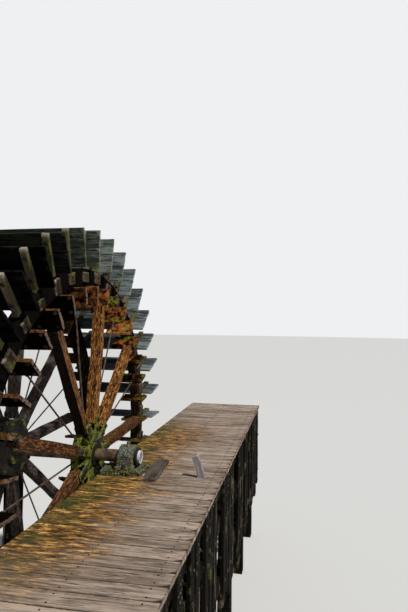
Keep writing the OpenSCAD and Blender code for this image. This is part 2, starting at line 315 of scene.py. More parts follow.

# %% [markdown]
# ## A material from a recipe
#
# A recipe is a function that is given the material's node tree and returns its colour, its
# roughness and a height for the bump. The Principled shader stays in the material itself.
# `shine` is kept very low on the woods that are painted almost black, partly as painted shade,
# because a grazing sheen would turn their blacks grey.

# %% Material maker
def finish_of(name, recipe, bump, depth, metallic=0.0, shine=0.35):
    material = bpy.data.materials.new(name)
    material.use_nodes = True
    tree = material.node_tree
    shader = tree.nodes["Principled BSDF"]
    colour, rough, height = recipe(tree)
    tree.links.new(colour, shader.inputs["Base Color"])
    tree.links.new(rough, shader.inputs["Roughness"])
    raised = node(tree, "Bump", {"Strength": bump, "Distance": depth, "Height": height})
    tree.links.new(raised.outputs[0], shader.inputs["Normal"])
    shader.inputs["Metallic"].default_value = metallic
    shader.inputs["Specular IOR Level"].default_value = shine
    print("finish", name)
    return material


# %% [markdown]
# ## Timber finishes
#
# Old oak in a wheel is almost black where it is soaked, silver where the sun bleaches an
# edge, and orange or green where rust and moss have run over it. One function builds them
# all: it lays the streaks between a dark and a light colour, darkens the cracks, brings up
# the worn edges, and then lets a last step add what is special to that timber.

# %% Timber recipe
def timber(name, dark, light, worn, extra=None, width=0.010, bump=0.6, fineness=1.0, vary=0.16,
           shine=0.10):
    def recipe(tree):
        grain = placed(tree, grain_group, {"Fineness": fineness})
        streaks = calc(tree, "MULTIPLY_ADD", grain["Fibre"], 0.5, times(tree, grain["Streak"], 0.5))
        lifted = swayed(tree, streaks, grain["Tone"], vary)
        colour = mixed(tree, rescale(tree, lifted, 0.36, 0.66), dark, light)
        colour = mixed(tree, times(tree, grain["Crack"], 0.8), colour, (0.008, 0.006, 0.005))
        colour = mixed(tree, placed(tree, edge_group, {"Width": width})["Mask"], colour, worn)
        height = grain["Height"]
        gloss = rescale(tree, grain["Streak"], 0.3, 0.7, 0.64, 0.88)
        if extra:
            colour, gloss, height = extra(tree, colour, gloss, height, grain)
        return colour, gloss, height
    return finish_of(name, recipe, bump, 0.006, shine=shine)


print("timber recipe ready")

# %% [markdown]
# ### Painted shade and moss
#
# Three steps come back in several timbers. Faces that look across the wheel, away from the
# sun on the canal side, are painted black near the eye for the shade they stand in. The side by
# the mill wall is painted dark for the shade that the mill throws on it. Moss is laid over the
# wood with its green pulled toward a duller tint, so that it doesn't look freshly painted.

# %% Steps that several timbers share
# Painted shade: a mask of the faces that turn away from the canal side, where the sun is.
def turned_away(tree):
    return rescale(tree, facing(tree, "X"), 0.35, 0.70, 1.0, 0.0)


# Painted shade: the mill side of a timber is darkened for the shadow that the mill casts on it.
def soaked_side(tree, colour, least=0.30):
    dark = rescale(tree, object_axis(tree, "X"), -0.35, 0.50, 1.0, 0.0)
    return mixed(tree, times(tree, dark, 1.0 - least), colour, (0.004, 0.004, 0.004))


def mossy(tree, colour, amount, scale, cover, dulled, tint):
    moss = placed(tree, moss_group, {"Amount": amount, "Scale": scale})
    green = mixed(tree, dulled, moss["Colour"], tint)
    return mixed(tree, times(tree, moss["Mask"], cover), colour, green), moss["Height"]


print("shared timber steps ready")

# %% [markdown]
# ### Paddles
#
# The paddles are painted black near the eye, for their wetness and for the shade their faces
# stand in, green at the top, and painted a lighter grey-blue on the far side, where their faces
# turn to the sun. The angle on the wheel drives a ramp that multiplies the wood's colour, and
# a dark line marks the joint between a paddle's two planks.

# %% Finish of the paddles
def paddle_extra(tree, colour, gloss, height, grain):
    where = placed(tree, place_group)
    from_joint = calc(tree, "ABSOLUTE", calc(tree, "SUBTRACT", where["Radius"], PLANK_JOINT_R))
    joint = rescale(tree, from_joint, 0.020, 0.006)
    colour = mixed(tree, times(tree, joint, 0.7), colour, (0.006, 0.006, 0.006))
    angle = swayed(tree, where["Angle"], grain["Tone"], 7.0)
    # Painted light: this ramp darkens the paddles near the eye for their shade as well as their wetness, and
    # lifts them to a lighter grey-blue on the far side, where they face the sun.
    wetness_and_painted_light = ramp(tree, rescale(tree, angle, -60.0, 80.0), (0.12, (0.01, 0.01, 0.01)),
               (0.22, (0.42, 0.42, 0.38)), (0.31, (1.10, 1.16, 1.02)), (0.50, (1.50, 1.66, 1.58)),
               (0.72, (1.36, 1.56, 1.68)))
    colour = mixed(tree, 1.0, colour, wetness_and_painted_light, "MULTIPLY")
    stain = cloud(tree, stretched(tree, object_place(tree), (0.8, 3.0, 3.0)), 2.2, 4.0, 0.6)
    colour = mixed(tree, rescale(tree, stain, 0.46, 0.66, 0.0, 0.62), colour, (0.012, 0.013, 0.012))
    moss = placed(tree, moss_group, {"Amount": 0.42, "Scale": 2.2})
    top = between(tree, where["Angle"], (-60.0, -8.0), (42.0, 14.0))
    green = times(tree, times(tree, moss["Mask"], top), 0.55)
    colour = mixed(tree, green, colour, (0.030, 0.048, 0.014))
    return soaked_side(tree, colour, 0.55), gloss, height


paddle_wood = timber("paddle_wood", (0.010, 0.011, 0.010), (0.185, 0.190, 0.182), (0.20, 0.19, 0.175),
                     paddle_extra, width=0.006, fineness=2.0, shine=0.02)

# %% [markdown]
# ### Arms
#
# The arms are grey-brown, mossy along their sides, and bleached where their tops stand out
# at the paddle tips.

# %% Finish of the arms
def arm_extra(tree, colour, gloss, height, grain):
    colour, raised = mossy(tree, colour, 0.52, 3.4, 0.65, 0.55, (0.110, 0.118, 0.034))
    bleach = rescale(tree, placed(tree, place_group)["Radius"], TIP_R - 0.07, TIP_R)
    colour = mixed(tree, bleach, colour, (0.36, 0.31, 0.26))
    return soaked_side(tree, colour), gloss, calc(tree, "ADD", height, raised)


arm_wood = timber("arm_wood", (0.018, 0.014, 0.009), (0.190, 0.150, 0.100), (0.20, 0.165, 0.13),
                  arm_extra, width=0.008)

# %% [markdown]
# ### Plates inside the rim
#
# The plates are painted black near the eye, for the shade their faces stand in there. On the
# far side rust and moss have run over them in blotches. Their sawn ends and upper edges, which
# the sun reaches, are painted paler than their faces, as their sunlit edges.

# %% Finish of the plates
def plate_extra(tree, colour, gloss, height, grain):
    here = object_place(tree)
    where = placed(tree, place_group)
    far_side = rescale(tree, where["Angle"], -19.0, -13.0)
    blotch = swayed(tree, cloud(tree, here, 8.0, 5.0, 0.72), grain["Tone"], 0.22)
    rust = ramp(tree, blotch, (0.43, (0.006, 0.004, 0.003)), (0.46, (0.085, 0.024, 0.007)),
                (0.56, (0.30, 0.095, 0.022)), (0.70, (0.60, 0.27, 0.10)))
    fades = rescale(tree, where["Angle"], 72.0, 54.0, 0.25, 0.92)
    # Painted shade: near the eye the plates are mixed almost to black.
    near_painted_shade = calc(tree, "MULTIPLY_ADD", far_side, -0.85, 0.85)
    colour = mixed(tree, near_painted_shade, colour, (0.002, 0.002, 0.001))
    colour = mixed(tree, times(tree, far_side, fades), colour, rust)
    moss = placed(tree, moss_group, {"Amount": 0.32, "Scale": 4.0})
    green = times(tree, moss["Mask"], times(tree, far_side, 0.9))
    colour = mixed(tree, green, colour, moss["Colour"])
    # Painted light: the sawn ends and the upper edges keep a paler sunlit brown against the painted black
    # faces.
    across = calc(tree, "ABSOLUTE", object_axis(tree, "X"))
    kept = rescale(tree, cloud(tree, here, 24.0), 0.36, 0.52)
    shown = times(tree, kept, rescale(tree, where["Angle"], 4.0, -8.0, 0.12, 0.6))
    sawn_end = rescale(tree, across, PLATE_END_X - 0.015, PLATE_END_X - 0.002)
    colour = mixed(tree, times(tree, sawn_end, shown), colour, (0.31, 0.215, 0.165))
    upper = rescale(tree, where["Radius"], RIM_IN - 0.012, RIM_IN - 0.002)
    colour = mixed(tree, times(tree, upper, times(tree, kept, 0.55)), colour, (0.26, 0.115, 0.042))
    return soaked_side(tree, colour), gloss, calc(tree, "ADD", height, moss["Height"])


plate_wood = timber("plate_wood", (0.004, 0.003, 0.002), (0.022, 0.013, 0.008), (0.20, 0.095, 0.04),
                    plate_extra, width=0.006, shine=0.0)

# %% [markdown]
# ### Rims and cleats
#
# The rims are almost black, and brown and mossy only past about 44 degrees on the far side.
# The cleats bolted on them are newer boards, grey-brown and green with bleached tops.

# %% Finish of the rims
def rim_extra(tree, colour, gloss, height, grain):
    colour, raised = mossy(tree, colour, 0.34, 3.0, 0.6, 0.45, (0.08, 0.08, 0.030))
    # The rims are darkened almost to black everywhere but past 44 degrees on the far side.
    far_upper_side = rescale(tree, placed(tree, place_group)["Angle"], 44.0, 62.0)
    darkened = mixed(tree, 0.95, colour, (0.005, 0.004, 0.004))
    colour = mixed(tree, far_upper_side, darkened, colour)
    return soaked_side(tree, colour), gloss, calc(tree, "ADD", height, raised)


rim_wood = timber("rim_wood", (0.008, 0.005, 0.003), (0.065, 0.036, 0.021), (0.13, 0.080, 0.050),
                  rim_extra, width=0.008, shine=0.0)

# %% Finish of the cleats
def cleat_extra(tree, colour, gloss, height, grain):
    colour, raised = mossy(tree, colour, 0.40, 3.6, 0.6, 0.55, (0.085, 0.085, 0.028))
    top = rescale(tree, placed(tree, place_group)["Radius"], RIM_OUT - 0.08, RIM_OUT - 0.01)
    bleach = times(tree, top, rescale(tree, grain["Streak"], 0.40, 0.56))
    colour = mixed(tree, bleach, colour, (0.36, 0.32, 0.28))
    return soaked_side(tree, colour), gloss, calc(tree, "ADD", height, raised)


cleat_wood = timber("cleat_wood", (0.016, 0.010, 0.006), (0.10, 0.066, 0.040), (0.24, 0.20, 0.155),
                    cleat_extra, width=0.009)

# %% [markdown]
# ### Spokes
#
# The spokes are rough orange-brown baulks with black streaks, the brightest wood on the
# wheel. They are dull outside the upper far quarter, painted darker near the eye with black
# painted shade on the faces there that turn from the sun, and silver-grey on the mill side.
# Flakes of bark-like skin are raised by the bump too.

# %% Finish of the spokes
def spoke_extra(tree, colour, gloss, height, grain):
    own = node(tree, "Attribute", attribute_name="grain").outputs["Vector"]
    flakes = cloud(tree, stretched(tree, own, (13.0, 46.0, 46.0)), 1.0, 4.0, 0.75)
    colour = mixed(tree, rescale(tree, flakes, 0.50, 0.60, 0.0, 0.92), colour, (0.74, 0.31, 0.060))
    soot = cloud(tree, stretched(tree, own, (8.0, 28.0, 28.0)), 1.0, 5.0, 0.8)
    colour = mixed(tree, rescale(tree, soot, 0.50, 0.57, 0.0, 0.96), colour, (0.007, 0.004, 0.002))
    angle = placed(tree, place_group)["Angle"]
    bright = between(tree, angle, (-60.0, -46.0), (86.0, 66.0))
    dull = mixed(tree, rescale(tree, flakes, 0.40, 0.66), (0.012, 0.006, 0.003), (0.15, 0.068, 0.034))
    colour = mixed(tree, calc(tree, "MULTIPLY_ADD", bright, -0.72, 0.72), colour, dull)
    # Painted shade: spokes near the eye are darkened, and their faces turned from the sun are painted black.
    black = between(tree, angle, (-12.0, -20.0), (-62.0, -48.0))
    colour = mixed(tree, times(tree, black, 0.45), colour, (0.05, 0.032, 0.022))
    shaded = times(tree, times(tree, black, turned_away(tree)), 0.93)
    colour = mixed(tree, shaded, colour, (0.004, 0.003, 0.002))
    silver = mixed(tree, rescale(tree, flakes, 0.40, 0.62), (0.020, 0.014, 0.011), (0.150, 0.112, 0.098))
    colour = mixed(tree, rescale(tree, object_axis(tree, "X"), 0.3, -0.3), colour, silver)
    return colour, gloss, calc(tree, "ADD", height, flakes)


spoke_wood = timber("spoke_wood", (0.020, 0.008, 0.003), (0.23, 0.088, 0.028), (0.34, 0.18, 0.085),
                    spoke_extra, width=0.008, bump=1.0)

# %% [markdown]
# ### Deck planks
#
# The planks are grey-brown. Beside the wheel the splash keeps them wet, orange and green, in
# a ragged zone that is measured from the wheel on both platforms.

# %% Finish of the deck planks
def deck_extra(tree, colour, gloss, height, grain):
    here = object_place(tree)
    darkened = cloud(tree, stretched(tree, here, (0.7, 3.2, 1.0)), 2.2, 4.0, 0.65)
    colour = mixed(tree, rescale(tree, darkened, 0.50, 0.64, 0.0, 0.6), colour, (0.120, 0.090, 0.062))
    ragged = cloud(tree, stretched(tree, here, (0.5, 2.2, 1.0)), 1.6, 4.0, 0.65)
    reach = swayed(tree, calc(tree, "ABSOLUTE", object_axis(tree, "X")), ragged, 2.0)
    from_middle = calc(tree, "ABSOLUTE", calc(tree, "ADD", object_axis(tree, "Y"), 1.1))
    along = rescale(tree, from_middle, 4.4, 2.6)
    splash = times(tree, rescale(tree, reach, 2.45, 1.45), along)
    runs = cloud(tree, stretched(tree, here, (1.5, 7.0, 1.0)), 2.6, 5.0, 0.75)
    wetness_and_painted_light = ramp(tree, runs, (0.41, (0.004, 0.003, 0.001)), (0.46, (0.095, 0.047, 0.012)),
               (0.52, (0.24, 0.115, 0.028)), (0.57, (0.60, 0.290, 0.060)), (0.63, (0.95, 0.60, 0.24)))
    colour = mixed(tree, times(tree, splash, 0.94), colour, wetness_and_painted_light)
    slime = times(tree, rescale(tree, reach, 1.80, 1.20), rescale(tree, ragged, 0.40, 0.54))
    moss = placed(tree, moss_group, {"Amount": 0.60, "Scale": 2.6})
    green = times(tree, times(tree, slime, along), moss["Mask"])
    colour = mixed(tree, times(tree, green, 0.85), colour, (0.045, 0.062, 0.016))
    return colour, calc(tree, "MULTIPLY_ADD", splash, -0.30, gloss), height


deck_wood = timber("deck_wood", (0.190, 0.142, 0.108), (0.60, 0.475, 0.385), (0.050, 0.036, 0.027),
                   deck_extra, width=0.009, fineness=1.8, vary=0.10)
bleached_wood = timber("bleached_wood", (0.22, 0.20, 0.20), (0.62, 0.58, 0.60), (0.70, 0.66, 0.68),
                       width=0.008)
loose_wood = timber("loose_wood", (0.030, 0.023, 0.016), (0.150, 0.122, 0.098), (0.25, 0.21, 0.175),
                    width=0.006)

# %% [markdown]
# ### Piles and beams
#
# The wood under the decks is painted almost black for the shade it stands in, with pale
# patches that stand for spots of sunlight. The blocks under the bearings use the same moss
# without that painted shade.

# %% Finishes of the piles, beams and bearing blocks
def pile_extra(tree, colour, gloss, height, grain):
    colour, raised = mossy(tree, colour, 0.40, 2.4, 0.75, 0.4, (0.10, 0.10, 0.040))
    return colour, gloss, calc(tree, "ADD", height, raised)


# Painted shade: the wood is darkened almost to black, and the cloud leaves pale patches of painted sunlight.
def pile_soaked(tree, colour, gloss, height, grain):
    colour, gloss, height = pile_extra(tree, colour, gloss, height, grain)
    patches = cloud(tree, stretched(tree, object_place(tree), (3.0, 3.0, 1.0)), 1.9, 4.0, 0.7)
    darkened = calc(tree, "MULTIPLY_ADD", rescale(tree, patches, 0.55, 0.66), -0.96, 0.96)
    return mixed(tree, darkened, colour, (0.004, 0.003, 0.003)), gloss, height


pile_wood = timber("pile_wood", (0.016, 0.012, 0.008), (0.24, 0.195, 0.130), (0.26, 0.21, 0.14),
                   pile_soaked, width=0.006, shine=0.02)
mossy_wood = timber("mossy_wood", (0.030, 0.026, 0.014), (0.15, 0.125, 0.065), (0.18, 0.16, 0.10),
                    pile_extra)

# %% [markdown]
# ## Metal finishes
#
# The hubs are cast iron under a coat of moss. The bearings are crusted with lichen, and the
# shaft has a brown skin of rust. One function lays spots, lichen and moss over a base colour,
# and a last step adds what only one casting has.

# %% Iron recipe
def iron(name, base, spots, moss_amount, moss_scale=5.0, lichen=0.0, metallic=0.15, extra=None):
    def recipe(tree):
        here = object_place(tree)
        colour = mixed(tree, rescale(tree, cloud(tree, here, 9.0, 5.0, 0.7), 0.35, 0.65), base, spots)
        height = cloud(tree, here, 55.0, 4.0, 0.7)
        if lichen:
            speck = placed(tree, speck_group, {"Scale": 34.0, "Amount": lichen})["Mask"]
            colour = mixed(tree, speck, colour, (0.27, 0.29, 0.25))
            height = calc(tree, "MULTIPLY_ADD", speck, 0.5, height)
        moss = placed(tree, moss_group, {"Amount": moss_amount, "Scale": moss_scale})
        colour = mixed(tree, moss["Mask"], colour, moss["Colour"])
        if extra:
            colour = extra(tree, colour)
        gloss = calc(tree, "MULTIPLY_ADD", moss["Mask"], 0.35, 0.55, clamp=True)
        return colour, gloss, calc(tree, "ADD", height, moss["Height"])
    return finish_of(name, recipe, 0.7, 0.006, metallic)


print("iron recipe ready")

# %% Finishes of the castings, the shaft and the rods
HOLLOW_X, HOLLOW_R = (0.675, 0.652), (0.462, 0.452)
NOSE_X, NOSE_R = (0.812, 0.826), (0.210, 0.185)


def hub_extra(tree, colour):
    along = object_axis(tree, "X")
    radius = placed(tree, place_group)["Radius"]
    # Painted shade: the hollow behind the front of the hub is painted black for the shade in it, and the nose
    # round the shaft takes the same black.
    hollow_shade = times(tree, rescale(tree, along, *HOLLOW_X), rescale(tree, radius, *HOLLOW_R))
    bare = times(tree, rescale(tree, along, *NOSE_X), rescale(tree, radius, *NOSE_R))
    black = times(tree, calc(tree, "MAXIMUM", hollow_shade, bare), 0.93)
    return mixed(tree, black, colour, (0.004, 0.004, 0.003))


mossy_iron = iron("mossy_iron", (0.006, 0.006, 0.006), (0.060, 0.070, 0.072), 0.60, 4.0, extra=hub_extra)
# Painted shade: the mill hub gets darker spots and less moss, for the shadow of the mill over it.
mill_shade_iron = iron("mill_shade_iron", (0.006, 0.006, 0.006), (0.030, 0.022, 0.016), 0.30)
bearing_iron = iron("bearing_crust", (0.050, 0.048, 0.042), (0.17, 0.165, 0.145), 0.36, 7.0, 0.4)
rusty_rod = iron("rusty_rod", (0.035, 0.024, 0.020), (0.15, 0.095, 0.070), 0.08)
# Painted shade: the flange on the shaft is painted black, for the shade on the collar's lower half.
shade_black_iron = iron("shade_black_flange", (0.006, 0.006, 0.007), (0.025, 0.022, 0.020), 0.10)
worn_steel = iron("worn_shaft", (0.045, 0.028, 0.016), (0.21, 0.135, 0.080), 0.22, 4.0)
bolt_iron = iron("bolt_iron", (0.008, 0.007, 0.006), (0.070, 0.038, 0.022), 0.10, 9.0)

# %% [markdown]
# ### The painted cap
#
# The cap on the shaft's end is a blue-grey disc with a pale ring, both dirty. The ring is
# drawn by the distance from the shaft's middle.

# %% Finish of the end cap
def cap_recipe(tree):
    ring = rescale(tree, placed(tree, place_group)["Radius"], 0.070, 0.078)
    colour = mixed(tree, ring, (0.24, 0.29, 0.36), (0.72, 0.72, 0.70))
    dirt = cloud(tree, object_place(tree), 24.0, 5.0, 0.7)
    colour = mixed(tree, rescale(tree, dirt, 0.52, 0.70, 0.0, 0.6), colour, (0.10, 0.095, 0.085))
    return colour, rescale(tree, dirt, 0.3, 0.7, 0.45, 0.75), dirt


painted_cap = finish_of("painted_cap", cap_recipe, 0.3, 0.002)

# %% [markdown]
# ### Thick moss
#
# The tufts scattered further down are all moss, so they have a finish of their own: black
# between the blades and yellow-green at the tips.

# %% Finishes of the tufts
def tuft_recipe(tree):
    blades = cloud(tree, object_place(tree), 80.0, 4.0, 0.75)
    tint = ramp(tree, blades, (0.36, (0.010, 0.013, 0.002)), (0.48, (0.105, 0.118, 0.012)),
                (0.60, (0.28, 0.29, 0.036)), (0.74, (0.50, 0.50, 0.12)))
    return tint, rescale(tree, blades, 0.3, 0.7, 0.85, 1.0), blades


moss_tufts = finish_of("moss_tufts", tuft_recipe, 0.8, 0.006, shine=0.05)
dull_tufts = iron("dull_tufts", (0.012, 0.011, 0.006), (0.115, 0.110, 0.050), 0.30, 9.0, metallic=0.0)

# %% [markdown]
# ## Weathered timber
#
# Sawn boxes look too clean for a wheel that has stood in water for decades. Each piece of
# wood in a CAD node is copied here on its own, its arrises are rounded by a bevel, and it
# is sliced into cells with `bisect_plane`. Then noise that is stretched along the grain
# pushes its skin in and out. The copy stands in for the plain node.
#
# A Python set of faces comes out in another order each time Blender runs, so the faces are
# sorted by their place first. Then every run gives the same wheel.

# %% Split a node into its pieces of wood
MERGE_DIST = 0.00002


def place_key(point):
    return tuple(round(c, 5) for c in point)


def pieces_of(node_name):
    whole = bmesh.new()
    whole.from_mesh(nodes[node_name].data)
    bmesh.ops.remove_doubles(whole, verts=whole.verts, dist=MERGE_DIST)
    bmesh.ops.dissolve_limit(whole, angle_limit=math.radians(1.0), verts=whole.verts, edges=whole.edges)
    left = set(whole.verts)
    found = []
    while left:
        start = min(left, key=lambda v: v.index)
        group, queue = {start}, [start]
        while queue:
            for edge in queue.pop().link_edges:
                for other in edge.verts:
                    if other not in group:
                        group.add(other)
                        queue.append(other)
        left -= group
        found.append(sorted(group, key=lambda v: v.index))
    parts = []
    for group in found:
        part = bmesh.new()
        twin = {v: part.verts.new(v.co) for v in group}
        faces = {f for v in group for f in v.link_faces}
        for face in sorted(faces, key=lambda f: place_key(f.calc_center_median())):
            ring = [twin[v] for v in face.verts]
            first = min(range(len(ring)), key=lambda i: place_key(ring[i].co))
            part.faces.new(ring[first:] + ring[:first])
        parts.append(part)
    whole.free()
    return parts


print("splitting ready")

# %% The directions of a piece of wood, from its longest edges
def length_and_way(edge):
    way = (edge.verts[1].co - edge.verts[0].co).normalized()
    if way[max(range(3), key=lambda i: abs(way[i]))] < 0:
        way = -way
    return round(edge.calc_length(), 4), tuple(way)


def own_axes(part):
    edges = [length_and_way(edge) for edge in part.edges]
    along = Vector(max(edges)[1])
    across = Vector(max(pair for pair in edges if abs(Vector(pair[1]).dot(along)) < 0.05)[1])
    across = (across - along * across.dot(along)).normalized()
    return along, across, along.cross(across).normalized()


print("axes ready")

# %% Give a piece its attributes and push its skin
EDGE_ZONE, END_ZONE = 0.02, 0.03


def dress(part, local_of, half, seed, rough, ragged, along=None):
    grain = part.verts.layers.float_vector.new("grain")
    edge_far = part.verts.layers.float.new("edge_far")
    tone = part.verts.layers.float.new("tone")
    rng = random.Random(seed)
    own_tone = rng.random()
    slide = Vector((rng.uniform(0, 40), rng.uniform(0, 9), rng.uniform(0, 9)))
    part.normal_update()
    moves = []
    for v in part.verts:
        local = local_of(v.co)
        gaps = sorted(h - abs(c) for h, c in zip(half, local))
        v[grain] = local + slide
        v[edge_far] = max(gaps[1], 0.0)
        v[tone] = own_tone
        spot = Vector((local.x * 2.3, local.y * 11, local.z * 11)) + slide
        move = v.normal * noise.noise(spot) * rough
        if gaps[1] < EDGE_ZONE:
            move -= v.normal * max(0.0, noise.noise(spot * 1.9 + Vector((5, 3, 1))) - 0.12) * ragged
        if along and half[0] - abs(local.x) < END_ZONE:
            end_spot = Vector((local.y * 16, local.z * 16, 7 + math.copysign(3, local.x))) + slide
            move += along * math.copysign(1, local.x) * (noise.noise(end_spot) - 0.3) * ragged
        moves.append((v, move))
    for v, move in moves:
        v.co += move


print("skin ready")

# %% Weather one straight piece of wood
def round_corners(part, sharper_than, by):
    corners = [e for e in part.edges if e.calc_face_angle(0.0) > math.radians(sharper_than)]
    bmesh.ops.bevel(part, geom=corners, offset=by, offset_type="OFFSET", segments=2, profile=0.5,
                    affect="EDGES", material=-1, clamp_overlap=True)


def weather(part, cell, round_by, rough, ragged, seed):
    axes = own_axes(part)
    spans = [[v.co.dot(a) for v in part.verts] for a in axes]
    middle = [(min(s) + max(s)) / 2 for s in spans]
    half = [(max(s) - min(s)) / 2 for s in spans]
    round_corners(part, 25, round_by)
    for axis, centre, reach, size in zip(axes, middle, half, cell):
        count = int(2 * reach / size)
        for i in range(1, count + 1):
            at = centre - reach + 2 * reach * i / (count + 1)
            bmesh.ops.bisect_plane(part, geom=part.verts[:] + part.edges[:] + part.faces[:],
                                   plane_co=axis * at, plane_no=axis, dist=0.0004)

    def local_of(co):
        return Vector([co.dot(a) - m for a, m in zip(axes, middle)])

    dress(part, local_of, half, seed, rough, ragged, axes[0])


print("weathering ready")

# %% Join finished parts into one named piece
def joined_piece(name, parts, body, material, sharp=38.0):
    mesh = bpy.data.meshes.new(name)
    whole = bmesh.new()
    for part in parts:
        single = bpy.data.meshes.new("single")
        part.to_mesh(single)
        part.free()
        whole.from_mesh(single)
        bpy.data.meshes.remove(single)
    whole.to_mesh(mesh)
    whole.free()
    mesh.polygons.foreach_set("use_smooth", [True] * len(mesh.polygons))
    mesh.set_sharp_from_angle(angle=math.radians(sharp))
    mesh.materials.append(material)
    piece = bpy.data.objects.new(name, mesh)
    bpy.context.scene.collection.objects.link(piece)
    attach(piece, body)
    mesh.calc_loop_triangles()
    print(name, len(mesh.loop_triangles), "triangles")
    return piece


def weathered(node_name, body, slot, material, cell, round_by, rough, ragged):
    parts = pieces_of(node_name)
    for number, part in enumerate(parts):
        weather(part, cell, round_by, rough, ragged, node_name + str(number))
    piece = joined_piece(node_name + "_worn", parts, body, material)
    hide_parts(node_name)
    return piece


print("joining ready")

# %% [markdown]
# ## The timbers of the wheel
#
# Each row gives a timber's slot and finish, the size of its cells, how far its arrises are
# rounded, and how rough its skin and its edges are. Long boards get long cells, and rough
# baulks such as the spokes get small ones, because their skin shows most.

# %% Straight wheel timbers
SIDES = {"canal": 1, "mill": -1}
PADDLE_ROW = ("paddle_timber", paddle_wood, (0.09, 0.07, 0.05), 0.004, 0.004, 0.010)
SIDE_ROWS = {
    "arms_": ("arm_timber", arm_wood, (0.07, 0.05, 0.05), 0.007, 0.004, 0.006),
    "rim_blocks_": ("block_timber", plate_wood, (0.08, 0.06, 0.05), 0.004, 0.004, 0.008),
    "spokes_": ("spoke_timber", spoke_wood, (0.045, 0.04, 0.04), 0.010, 0.012, 0.008),
}
worn = {}
for group in range(1, 7):
    name = "paddle_boards_%d" % group
    worn[name] = weathered(name, "wheel", *PADDLE_ROW)
for side in SIDES:
    for kind, row in SIDE_ROWS.items():
        worn[kind + side] = weathered(kind + side, "wheel", *row)

# %% [markdown]
# ## Curved rim pieces
#
# A rim piece is sawn to the wheel's curve, so its grain has to bend with it. A small grid
# stands for its cut end, and `spin` sweeps it about the shaft. The first number of the
# grain attribute is then the length along the arc.

# %% One rim piece
RIM_X0, RIM_X1 = 0.482, 0.655
RIM_MIDDLE, RIM_HALF = (RIM_IN + RIM_OUT) / 2, (RIM_OUT - RIM_IN) / 2
SPOKES, SPOKE_STEP = 9, 40.0
RIM_START, RIM_GAP = -7.3, 0.07


def about_axle(angle_deg):
    return Matrix.Translation((0.0, AXLE_Y, AXLE_Z)) @ Matrix.Rotation(math.radians(-angle_deg), 4, "X")


def rim_piece(x0, x1, start, sweep, seed):
    part = bmesh.new()
    middle, x_middle, x_half = start + sweep / 2, (x0 + x1) / 2, abs(x1 - x0) / 2
    size = Matrix.Diagonal((x_half, RIM_HALF, 1.0, 1.0))
    stand = Matrix.Rotation(math.pi / 2, 4, "X")
    place = about_axle(start) @ Matrix.Translation((x_middle, 0.0, RIM_MIDDLE)) @ stand @ size
    bmesh.ops.create_grid(part, x_segments=3, y_segments=5, size=1.0)
    bmesh.ops.transform(part, matrix=place, verts=part.verts)
    bmesh.ops.spin(part, geom=part.verts[:] + part.edges[:] + part.faces[:], cent=(0.0, AXLE_Y, AXLE_Z),
                   axis=(1, 0, 0), angle=math.radians(-sweep), steps=28)
    bmesh.ops.recalc_face_normals(part, faces=part.faces)
    round_corners(part, 40, 0.006)

    def along_arc(co):
        y, z = co.y - AXLE_Y, co.z - AXLE_Z
        turned = math.atan2(y, z) - math.radians(middle)
        turned = math.atan2(math.sin(turned), math.cos(turned))
        return Vector((turned * RIM_MIDDLE, math.hypot(y, z) - RIM_MIDDLE, co.x - x_middle))

    dress(part, along_arc, (math.radians(sweep / 2) * RIM_MIDDLE, RIM_HALF, x_half), seed, 0.005, 0.008)
    return part


print("rim piece ready,", SPOKES, "to a rim")

# %% Both rims
for side, sign in SIDES.items():
    parts = []
    for i in range(SPOKES):
        start = RIM_START + i * SPOKE_STEP + RIM_GAP / 2
        parts.append(rim_piece(sign * RIM_X0, sign * RIM_X1, start, SPOKE_STEP - RIM_GAP, side + str(i)))
    print("open edges in a rim piece:", sum(1 for e in parts[0].edges if len(e.link_faces) != 2))
    worn["felloes_" + side] = joined_piece("felloes_%s_worn" % side, parts, "wheel", rim_wood)
    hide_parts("felloes_" + side)

# %% [markdown]
# ## Cleats on the rim
#
# Beside every paddle a short board is bolted flat on the rim's outer face. They were
# renewed one by one, so they differ in width and height, and the sun has bleached their
# tops.

# %% Cleats
PADDLES, PADDLE_START, PADDLE_STEP = 36, -0.8, 10.0


def cleat(side, sign, number):
    rng = random.Random("cleat%s%d" % (side, number))
    width, top = rng.uniform(0.15, 0.25), rng.uniform(2.88, 2.965)
    thick, low = rng.uniform(0.028, 0.040), rng.uniform(2.715, 2.775)
    part = bmesh.new()
    bmesh.ops.create_cube(part, size=1.0)
    place = (about_axle(PADDLE_START + number * PADDLE_STEP + rng.uniform(-0.5, 0.5))
             @ Matrix.Translation((sign * (RIM_X1 + thick / 2 - 0.002), -0.03 - width / 2, (low + top) / 2))
             @ Matrix.Rotation(rng.uniform(-0.05, 0.05), 4, "X")
             @ Matrix.Diagonal((thick, width, top - low, 1.0)))
    bmesh.ops.transform(part, matrix=place, verts=part.verts)
    bmesh.ops.recalc_face_normals(part, faces=part.faces)
    weather(part, (0.06, 0.05, 0.04), 0.007, 0.004, 0.010, "cleat%s%d" % (side, number))
    return part


for side, sign in SIDES.items():
    parts = [cleat(side, sign, number) for number in range(PADDLES)]
    worn["cleats_" + side] = joined_piece("cleats_" + side, parts, "wheel", cleat_wood)

# %% [markdown]
# ## The timbers of the platforms
#
# The same weathering goes over the decks and what carries them. The beams and piles are
# seen from further off, so their cells are large.

